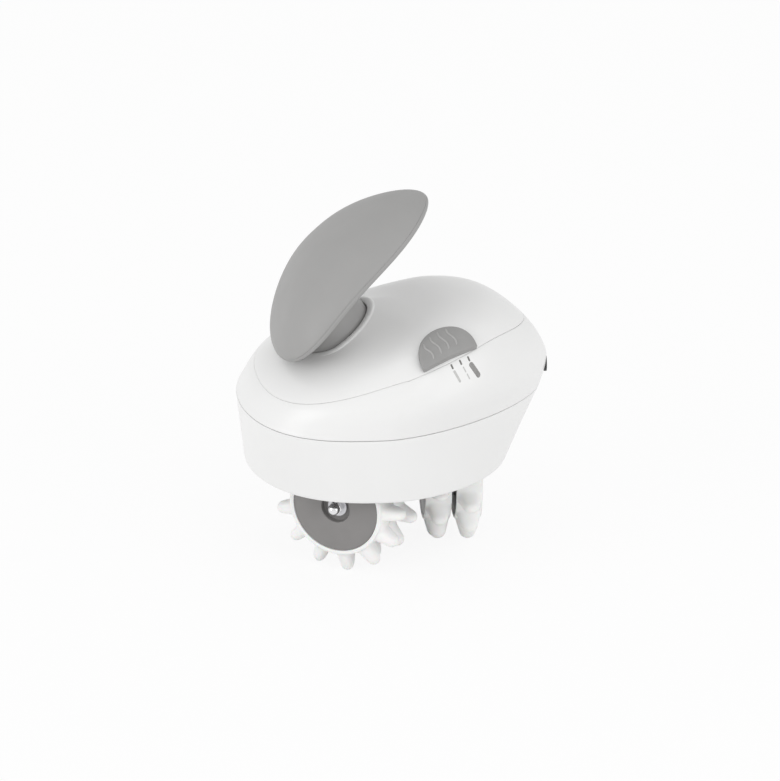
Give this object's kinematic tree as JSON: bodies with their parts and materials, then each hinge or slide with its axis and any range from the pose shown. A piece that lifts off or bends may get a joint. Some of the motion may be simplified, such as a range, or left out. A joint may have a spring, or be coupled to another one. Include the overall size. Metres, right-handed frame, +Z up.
{
  "type": "anti-cellulite massager",
  "caption": "Hand-held massager: egg-shaped white body, leaning grey palm rest, slide switch on the shoulder and a turning head of finger rollers under a skirt.",
  "frame": {"origin": "the point of the floor under the axis of the turning head, where the finger tips rest", "axes": "+X towards the pointed tail of the body, -Y towards the slide switch, +Z up"},
  "size_m": [0.1366, 0.1102, 0.1624],
  "materials": {
    "white_plastic": "moulded, satin gloss",
    "grey_plastic": "moulded, soft satin",
    "white_rubber": "soft moulded rubber",
    "core_plastic": "moulded",
    "frame_plastic": "moulded",
    "hub_plastic": "moulded",
    "gear_plastic": "moulded, waxy",
    "brass": "turned",
    "dark_plastic": "moulded",
    "board": "lacquered",
    "cell_sleeve": "shrink sleeve",
    "nut_steel": "plated, polished",
    "steel": "plated"
  },
  "bodies": {
    "housing": {"top_cover": "white_plastic", "side_housing": "white_plastic", "lower_skirt": "white_plastic", "gear_deck": "frame_plastic", "gearbox_lid": "frame_plastic", "gearbox_screws": "steel", "deck_screws": "steel", "cover_screws": "steel", "lower_bearing": "steel", "upper_bearing": "steel", "handle_top": "grey_plastic", "handle_bottom": "grey_plastic", "handle_screws": "steel", "neck_screws": "steel", "slide_switch": "dark_plastic", "circuit_board": "board", "board_parts": "dark_plastic", "board_screws": "steel", "battery_cells": "cell_sleeve", "battery_clips": "steel", "charging_socket": "dark_plastic", "motor_can": "steel", "motor_cap": "dark_plastic", "motor_screws": "steel", "idler_pin": "steel"},
    "slider": {"switch_slider": "grey_plastic"},
    "motor_rotor": {"motor_shaft": "steel", "motor_pinion": "brass"},
    "idler": {"idler_gear": "gear_plastic"},
    "head": {"rotor_hub": "hub_plastic", "hub_screw": "steel", "head_shaft": "steel", "shaft_clip": "steel", "head_gear": "gear_plastic", "roller_axles": "steel", "axle_washers": "steel", "dome_nuts": "nut_steel"},
    "roller_a": {"outer_fingers_a": "white_rubber", "inner_fingers_a": "white_rubber", "roller_core_a": "core_plastic", "roller_bushes_a": "brass"},
    "roller_b": {"outer_fingers_b": "white_rubber", "inner_fingers_b": "white_rubber", "roller_core_b": "core_plastic", "roller_bushes_b": "brass"},
    "roller_c": {"outer_fingers_c": "white_rubber", "inner_fingers_c": "white_rubber", "roller_core_c": "core_plastic", "roller_bushes_c": "brass"}
  },
  "joints": [
    {"name": "head_spin", "type": "hinge", "parent": "housing", "child": "head", "pos_m": [0, 0, 0], "axis": [0, 0, 1], "continuous": true},
    {"name": "idler_spin", "type": "hinge", "parent": "housing", "child": "idler", "pos_m": [0.02242, 0.01677, 0.078], "axis": [0, 0, 1], "continuous": true},
    {"name": "motor_spin", "type": "hinge", "parent": "housing", "child": "motor_rotor", "pos_m": [0.03, 0, 0.08], "axis": [0, 0, 1], "continuous": true},
    {"name": "switch_slide", "type": "hinge", "parent": "housing", "child": "slider", "pos_m": [0.02271, 0.00175, 0.04665], "axis": [-0.5484, 0.6979, 0.4607], "range_deg": [0, 6.37]},
    {"name": "roller_a_spin", "type": "hinge", "parent": "head", "child": "roller_a", "pos_m": [0, 0, 0.03077], "axis": [-0.5, -0.866, 0], "continuous": true},
    {"name": "roller_b_spin", "type": "hinge", "parent": "head", "child": "roller_b", "pos_m": [0, 0, 0.03077], "axis": [-0.5, 0.866, 0], "continuous": true},
    {"name": "roller_c_spin", "type": "hinge", "parent": "head", "child": "roller_c", "pos_m": [0, 0, 0.03077], "axis": [1, 0, 0], "continuous": true}
  ],
  "couplings": [
    {"joint": "idler_spin", "follows": "head_spin", "ratio": -3.6667},
    {"joint": "motor_spin", "follows": "head_spin", "ratio": 13.2}
  ]
}
